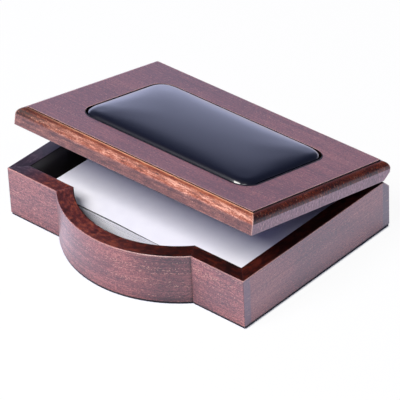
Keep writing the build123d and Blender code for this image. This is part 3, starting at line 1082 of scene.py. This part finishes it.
leather, tree = new_material("calf_leather_black_polished")
place = millimetres(tree)
pebbles = add(tree, "TexVoronoi", {"Vector": place, "Scale": 1 / PEBBLE}, feature="SMOOTH_F1")
waves = pulled_noise(tree, place, (1, 1, 1), WAVE_WIDTH, 3)
relief = add(tree, "Mix", {"Factor": WAVE_SHARE, "A": pebbles, "B": waves}, data_type="FLOAT")
facing = add(tree, "SeparateXYZ", {0: add(tree, "TexCoord", out="Normal")}, 2)
# the upper faces shine; the steep sides get the painted shade and no reflection
upper = both(tree, (facing, *SHINE_FACING))
shader = add(tree, "BsdfPrincipled", {
    "Base Color": add(tree, "Mix", {
        "Factor": upper, 6: linear(SIDE_SHADE_BLACK), 7: linear(TOP_BLACK),
    }, 2, data_type="RGBA"),
    "Roughness": add(tree, "MapRange", {
        "Value": facing, "From Min": 0.3, "From Max": 0.6, "To Min": 0.14, "To Max": 0.32,
    }),
    "IOR": 1.5,
    "Specular Tint": add(tree, "Mix", {
        "Factor": upper, 6: (0, 0, 0, 1), 7: (1, 1, 1, 1),
    }, 2, data_type="RGBA"),
    "Coat Weight": add(tree, "Math", {0: upper, 1: POLISH_WEIGHT}, operation="MULTIPLY"),
    "Coat Roughness": 0.12,
    "Coat IOR": 1.5,
    "Normal": add(tree, "Bump", {"Height": relief, "Strength": 0.35, "Distance": PEBBLE_DEPTH}),
})
add(tree, "OutputMaterial", {"Surface": shader})
dress(pad, leather)

# %% [markdown]
# ## Finishes that hardly show
# The felt under the box, the bottom board, the hinges and their screws, and what is
# inside the pad are hidden in use, but they show when the lid swings right back or the
# box is turned over, so each gets its own finish. They differ in colour, in the pattern
# that varies it, and in how that pattern is pulled: felt is short matted hair, plywood
# has long grain, rolled brass and drawn steel have fine lines along their length, and
# foam is a froth of open cells.

# %% Felt, board, metal and foam
def varied(name, squeeze, width, dark, light, depth, **shader_settings):
    """A finish of two colours mixed by one pulled noise, which is its relief too."""
    material, tree = new_material(name)
    pattern = pulled_noise(tree, millimetres(tree), squeeze, width, 4)
    spread = add(tree, "MapRange", {"Value": pattern, "From Min": 0.35, "From Max": 0.65})
    colour = add(tree, "Mix", {"Factor": spread, 6: linear(dark), 7: linear(light)}, 2, data_type="RGBA")
    shader = add(tree, "BsdfPrincipled", {
        "Base Color": colour,
        "Normal": add(tree, "Bump", {"Height": pattern, "Strength": 0.6, "Distance": depth * MM}),
        **{setting.replace("_", " ").title(): value for setting, value in shader_settings.items()},
    })
    add(tree, "OutputMaterial", {"Surface": shader})
    return material


felt = varied(
    "wool_felt_pressed_black", (1, 1, 1), 0.5, "0c0b10", "1d1b24", 0.3, roughness=0.95, sheen_weight=0.1,
)
plywood = varied("birch_plywood_stained_dark", (1 / 20, 1, 1), 1.2, "150a08", "2e1812", 0.05, roughness=0.6)
rolled_brass = varied(
    "brass_rolled_tumbled", (1 / 12, 1, 1), 0.3, "b98f4a", "d9b56c", 0.01, roughness=0.32, metallic=1.0,
)
drawn_steel = varied(
    "steel_wire_drawn", (1 / 20, 1, 1), 0.2, "8f9194", "b9bbbe", 0.01, roughness=0.28, metallic=1.0,
)
turned_brass = varied(
    "brass_screw_turned", (1, 1, 1), 0.25, "b08540", "dcb970", 0.01, roughness=0.25, metallic=1.0,
)
fibreboard = varied("fibreboard_pressed_brown", (1, 1, 1), 0.8, "6b5740", "8f7757", 0.08, roughness=0.9)
soft_foam = varied("polyurethane_foam_cut", (1, 1, 1), 0.6, "c9bf9c", "e6ddbf", 0.4, roughness=0.95)

dress(foam, soft_foam)
for node_name, material in {
    "felt_base": felt,
    "base_panel": plywood,
    "pad_board": fibreboard,
    "base_hinge_screws": turned_brass,
    "lid_hinge_screws": turned_brass,
}.items():
    finish_node(node_name, material)
for side in ("left", "right"):
    finish_node(f"hinge_{side}_base_leaf", rolled_brass)
    finish_node(f"hinge_{side}_lid_leaf", rolled_brass)
    finish_node(f"hinge_{side}_pin", drawn_steel)

# %% [markdown]
# ## Floor
# A wide pale sheet. Seen directly, or mirrored in the lacquer, it is nearly white; the
# rest of its colour is lit by the lamps, so that it keeps a faint soft shadow. In the
# crevice at the foot of the box the white fades out, and the shadow there is dark. The
# lacquer mirrors a wider shade round the box, so its walls darken towards the foot.

# %% Floor
FLOOR_SIZE = 8
FLOOR_WHITE = "e9eaf2"
MIRRORED_WHITE = "eae8ff"
WHITE_SHARE = 0.94
CREVICE = 2.2 * MM
CREVICE_OPENS = 0.5
CREVICE_IS_OPEN = 0.8
FOOT_SHADE = 14 * MM
SHADED_GLOW = 0.7
OPEN_GLOW = 1.5

bpy.ops.object.select_all(action="DESELECT")
bpy.ops.mesh.primitive_plane_add(size=FLOOR_SIZE, location=(0, 0, 0))
floor = bpy.context.object
floor.name = "floor"
sweep, tree = new_material("white_paper_sweep")
seen = add(tree, "LightPath").node.outputs
matte = add(tree, "BsdfDiffuse", {"Color": linear(FLOOR_WHITE)})
mirrored = add(tree, "Math", {
    0: seen["Is Glossy Ray"], 1: seen["Is Transmission Ray"],
}, operation="ADD", use_clamp=True)
direct = add(tree, "Math", {0: seen["Is Camera Ray"], 1: mirrored}, operation="ADD", use_clamp=True)
near_foot = add(tree, "AmbientOcclusion", {"Distance": CREVICE}, "AO", samples=8)
share = add(tree, "MapRange", {
    "Value": near_foot, "From Min": CREVICE_OPENS, "From Max": CREVICE_IS_OPEN, "To Max": WHITE_SHARE,
})
round_box = add(tree, "AmbientOcclusion", {"Distance": FOOT_SHADE}, "AO", samples=4)
shade = add(tree, "MapRange", {
    "Value": round_box, "From Min": 0.5, "To Min": SHADED_GLOW, "To Max": OPEN_GLOW,
})
glow = add(tree, "Emission", {
    "Color": add(tree, "Mix", {
        "Factor": mirrored, 6: (1, 1, 1, 1), 7: linear(MIRRORED_WHITE),
    }, 2, data_type="RGBA"),
    "Strength": add(tree, "Mix", {"Factor": mirrored, "A": 1.0, "B": shade}, data_type="FLOAT"),
})
add(tree, "OutputMaterial", {"Surface": add(tree, "MixShader", {
    0: add(tree, "Math", {0: direct, 1: share}, operation="MULTIPLY"), 1: matte, 2: glow,
})})
dress(floor, sweep)

# %% [markdown]
# ## Lamps
# One soft lamp stands high in front, a little to the left. A weaker violet-blue one, lower
# on the same side, cools the shadows on the paper, and is kept out of the reflections. A
# small one on the right gives little light, but its mirror image glints on the pad's near
# corner.

# %% Place the lamps
LAMP_DISTANCE = 1.7


def softbox(name, direction, width, height, watts, colour):
    """A soft rectangular lamp in that direction, as wide along X as it says, tipped to the box."""
    lamp = bpy.data.objects.new(name, bpy.data.lights.new(name, "AREA"))
    lamp.data.shape = "RECTANGLE"
    lamp.data.size = width
    lamp.data.size_y = height
    lamp.data.energy = watts
    lamp.data.color = linear(colour)[:3]
    heading = Vector(direction).normalized()
    tip = Matrix.Rotation(math.atan2(-heading.y, heading.z), 4, "X")
    lamp.matrix_world = Matrix.Translation(AIM + heading * LAMP_DISTANCE) @ tip
    lamp.visible_camera = False
    bpy.context.scene.collection.objects.link(lamp)
    print("lamp:", name, watts, "W")
    return lamp


softbox("key", (-0.10, -0.58, 0.80), width=0.8, height=0.8, watts=37, colour="fffcf8")
softbox("glint", (0.62, -0.32, 0.76), width=0.5, height=0.4, watts=4.5, colour="fffdfc")
fill = softbox("fill", (-0.30, -0.80, 0.50), width=0.9, height=0.9, watts=6.5, colour="bcbcff")
fill.visible_glossy = False

# %% [markdown]
# ## World
# The room is dim, except for a cool bright wall behind on the left. It hardly lights the
# box, but it is what the lid and the leather mirror, so it fades upwards as a lit wall
# does. The camera sees plain white in its place.

# %% Light the room
ROOM = "434d6c"
LIT_WALL = "d2d8ff"
WALL_GLOW = 2.2
WALL_HEADING = (-0.80, 0.60, 0)
WALL_SIDE = (0.81, 0.955)
WALL_TOP = (0.37, 0.12)

world = bpy.data.worlds.new("studio")
bpy.context.scene.world = world
world.use_nodes = True
tree = world.node_tree
tree.nodes.clear()
heading = add(tree, "TexCoord", out="Generated")
behind = add(tree, "VectorMath", {0: heading, 1: WALL_HEADING}, "Value", operation="DOT_PRODUCT")
lift = add(tree, "SeparateXYZ", {0: heading}, 2)
lit_wall = both(tree, (behind, *WALL_SIDE), (lift, *WALL_TOP))
room = add(tree, "Background", {
    "Color": add(tree, "Mix", {
        "Factor": lit_wall, 6: linear(ROOM), 7: linear(LIT_WALL),
    }, 2, data_type="RGBA"),
    "Strength": add(tree, "MapRange", {"Value": lit_wall, "To Min": 1.0, "To Max": WALL_GLOW}),
})
white = add(tree, "Background", {"Color": (1, 1, 1, 1), "Strength": 1.0})
in_view = add(tree, "LightPath", out="Is Camera Ray")
add(tree, "OutputWorld", {"Surface": add(tree, "MixShader", {0: in_view, 1: room, 2: white})})
print("world:", world.name)

bpy.context.scene.view_settings.view_transform = "Standard"
